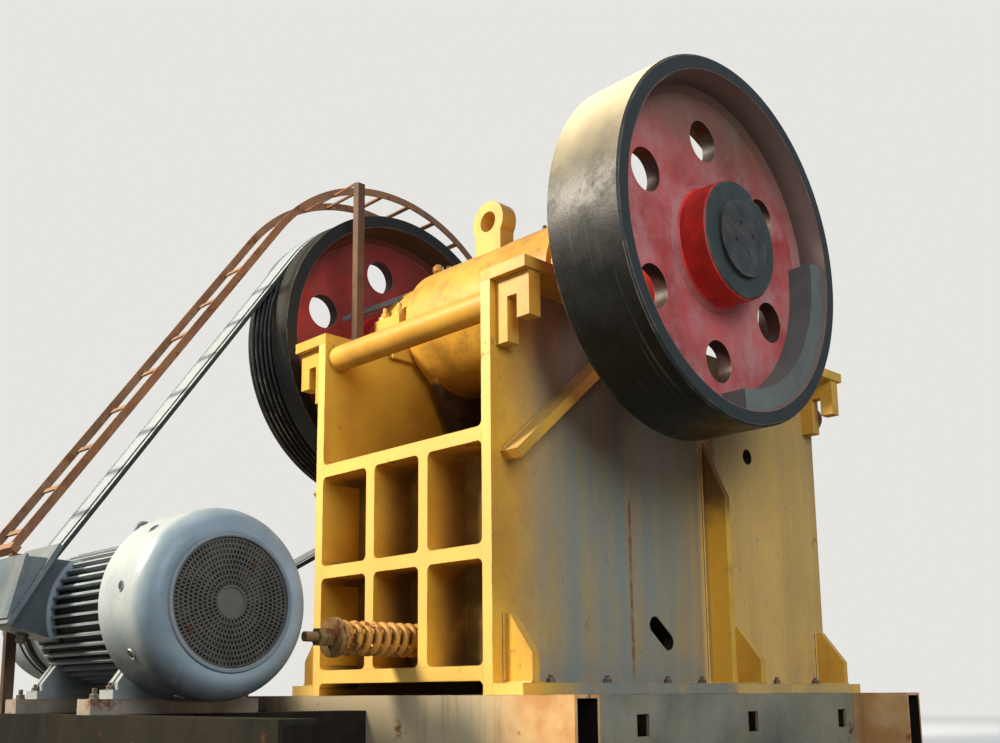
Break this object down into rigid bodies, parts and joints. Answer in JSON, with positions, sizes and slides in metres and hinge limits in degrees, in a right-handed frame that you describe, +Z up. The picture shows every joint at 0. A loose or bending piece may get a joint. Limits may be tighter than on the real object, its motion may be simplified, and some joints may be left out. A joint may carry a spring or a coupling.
{
  "type": "jaw crusher with drive motor and base frame",
  "caption": "Welded-frame jaw crusher with a flywheel, a grooved sheave, V-belt drive motor, belt guard and steel base.",
  "frame": {"origin": "on the ground, under the middle of the whole machine with its motor", "axes": "X across the machine with the plain flywheel on +X, Y from the rear wall to the feed end, Z up"},
  "size_m": [2.396, 3.717, 2.938],
  "materials": {
    "yellow_paint": "sun-faded yellow enamel with grey dust and rust spots",
    "red_paint": "faded red enamel",
    "black_paint": "black enamel with rubbed streaks",
    "manganese_steel": "dusty cast steel",
    "bare_steel": "oiled machined steel",
    "rusty_steel": "rusted mild steel",
    "beam_paint": "primed steel with rust and dust",
    "motor_paint": "grey-blue enamel with dust",
    "belt_rubber": "dusty rubber"
  },
  "bodies": {
    "root": {"side_plate_left": "yellow_paint", "side_plate_right": "yellow_paint", "foot_flanges": "yellow_paint", "foot_gussets": "yellow_paint", "side_ribs": "yellow_paint", "corner_brackets": "yellow_paint", "rear_rails": "yellow_paint", "rear_ribs": "yellow_paint", "rear_plate": "yellow_paint", "tie_tube": "yellow_paint", "front_wall": "yellow_paint", "front_rails": "yellow_paint", "fixed_jaw_plate": "manganese_steel", "cheek_plates": "manganese_steel", "bearing_base_left": "yellow_paint", "bearing_base_right": "yellow_paint", "bearing_cap_left": "yellow_paint", "bearing_cap_right": "yellow_paint", "toggle_seat": "manganese_steel", "toggle_plate": "manganese_steel", "tension_rod": "bare_steel", "tension_spring": "yellow_paint", "hitch_rings": "bare_steel", "base_cross_beams": "beam_paint", "base_side_beams": "beam_paint", "motor_platform": "beam_paint", "motor_bearers": "beam_paint", "motor_rails": "beam_paint", "motor_body": "motor_paint", "fan_cowl": "motor_paint", "terminal_box": "motor_paint", "drive_belts": "belt_rubber", "guard_bars": "rusty_steel", "guard_arcs": "rusty_steel", "guard_posts": "rusty_steel"},
    "shaft": {"eccentric_shaft": "bare_steel", "flywheel": "red_paint", "sheave": "black_paint", "counterweights": "black_paint", "hub_plates": "black_paint"},
    "pitman": {"pitman": "yellow_paint", "swing_jaw_plate": "manganese_steel", "lifting_lug": "yellow_paint"},
    "rotor": {"motor_shaft": "bare_steel", "motor_pulley": "black_paint"}
  },
  "joints": [
    {"name": "shaft_spin", "type": "hinge", "parent": "root", "child": "shaft", "pos_m": [0, 0.1935, 2.03], "axis": [1, 0, 0], "continuous": true},
    {"name": "pitman_crank", "type": "hinge", "parent": "shaft", "child": "pitman", "pos_m": [0, 0.18124, 2.04028], "axis": [1, 0, 0], "continuous": true},
    {"name": "rotor_spin", "type": "hinge", "parent": "root", "child": "rotor", "pos_m": [0, -1.3965, 0.609], "axis": [1, 0, 0], "continuous": true}
  ],
  "couplings": [
    {"joint": "pitman_crank", "follows": "shaft_spin", "ratio": -1},
    {"joint": "rotor_spin", "follows": "shaft_spin", "ratio": 2.9795}
  ]
}
